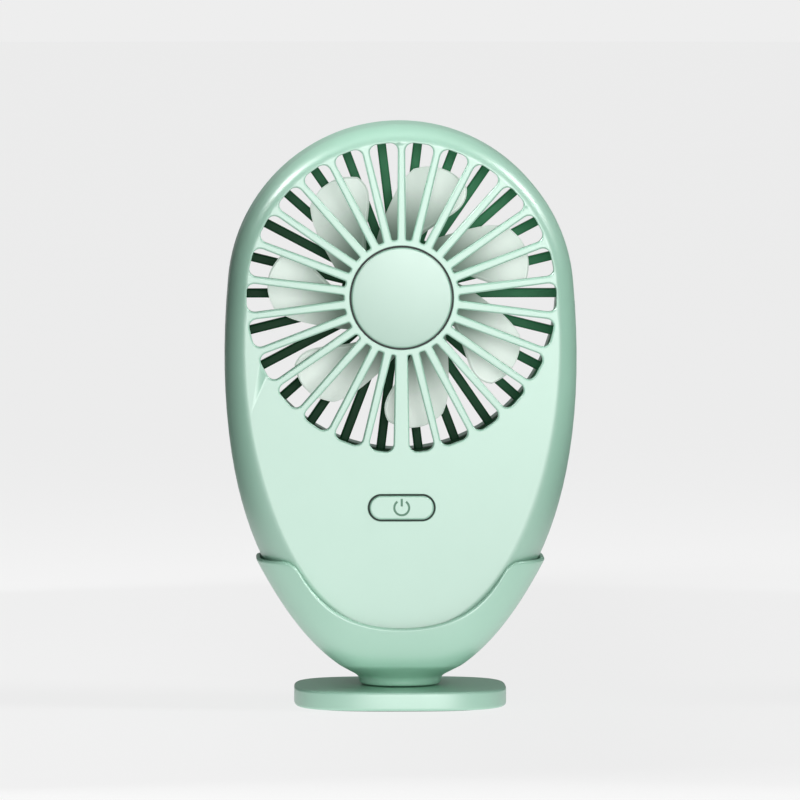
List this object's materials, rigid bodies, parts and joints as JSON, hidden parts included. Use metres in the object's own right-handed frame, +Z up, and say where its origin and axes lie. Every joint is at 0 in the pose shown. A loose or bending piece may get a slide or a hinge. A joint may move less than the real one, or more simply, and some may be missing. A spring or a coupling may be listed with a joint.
{
  "type": "handheld electric fan",
  "caption": "Egg-shaped pocket fan with a round slotted grille, spinning impeller and push button, standing in a cradle dock on an oval base.",
  "frame": {"origin": "on the ground under the middle of the dock's base", "axes": "+Z up, the grille faces -Y, +X is on the right of someone who looks at the grille"},
  "size_m": [0.0786, 0.042, 0.1308],
  "materials": {
    "mint_plastic": "satin, fine grain",
    "dark_green_plastic": "satin",
    "white_plastic": "soft gloss",
    "black_plastic": "matte",
    "red_plastic": "wire jacket",
    "circuit_board": "solder mask",
    "steel": "zinc plated",
    "dark_steel": "dark laminations",
    "bronze": "sintered",
    "copper": "enamelled wire",
    "cell_film": "laminated film",
    "grey_rubber": "matte",
    "grey_foam": "open foam"
  },
  "bodies": {
    "dock": {"cradle": "mint_plastic", "seat_pad": "grey_rubber", "base_plate": "mint_plastic", "ballast": "steel", "foot_pad": "grey_rubber", "dock_screw_1": "steel", "dock_screw_2": "steel", "dock_screw_3": "steel"},
    "fan_body": {"front_shell": "mint_plastic", "hub_cap": "mint_plastic", "rear_shell": "mint_plastic", "rear_grille": "dark_green_plastic", "motor_mount": "black_plastic", "control_chip": "black_plastic", "motor_lead_black": "black_plastic", "battery_lead_black": "black_plastic", "charge_lead_black": "black_plastic", "motor_lead_red": "red_plastic", "battery_lead_red": "red_plastic", "charge_lead_red": "red_plastic", "motor_board": "circuit_board", "control_board": "circuit_board", "charge_board": "circuit_board", "case_screw_1": "steel", "case_screw_2": "steel", "case_screw_3": "steel", "case_screw_4": "steel", "motor_screw_1": "steel", "motor_screw_2": "steel", "tact_switch": "steel", "board_screw_1": "steel", "board_screw_2": "steel", "usb_port": "steel", "port_screw_1": "steel", "port_screw_2": "steel", "stator_core": "dark_steel", "power_coil": "dark_steel", "sleeve_bearing": "bronze", "stator_coil_1": "copper", "stator_coil_2": "copper", "stator_coil_3": "copper", "stator_coil_4": "copper", "battery": "cell_film", "battery_pad": "grey_foam"},
    "rotor": {"impeller": "white_plastic", "rotor_cup": "steel", "magnet_ring": "dark_steel", "shaft": "steel", "shaft_clip": "black_plastic"},
    "button": {"power_button": "mint_plastic", "switch_plunger": "black_plastic"}
  },
  "joints": [
    {"name": "lift_out", "type": "slide", "parent": "dock", "child": "fan_body", "axis": [0, 0, 1], "range_m": [0, 0.06]},
    {"name": "impeller_spin", "type": "hinge", "parent": "fan_body", "child": "rotor", "pos_m": [0, 0, 0.0922], "axis": [0, 1, 0], "continuous": true},
    {"name": "button_press", "type": "slide", "parent": "fan_body", "child": "button", "axis": [0, 1, 0], "range_m": [0, 0.0005], "stiffness_N_per_m": 1500, "springref_m": -0.0003}
  ]
}
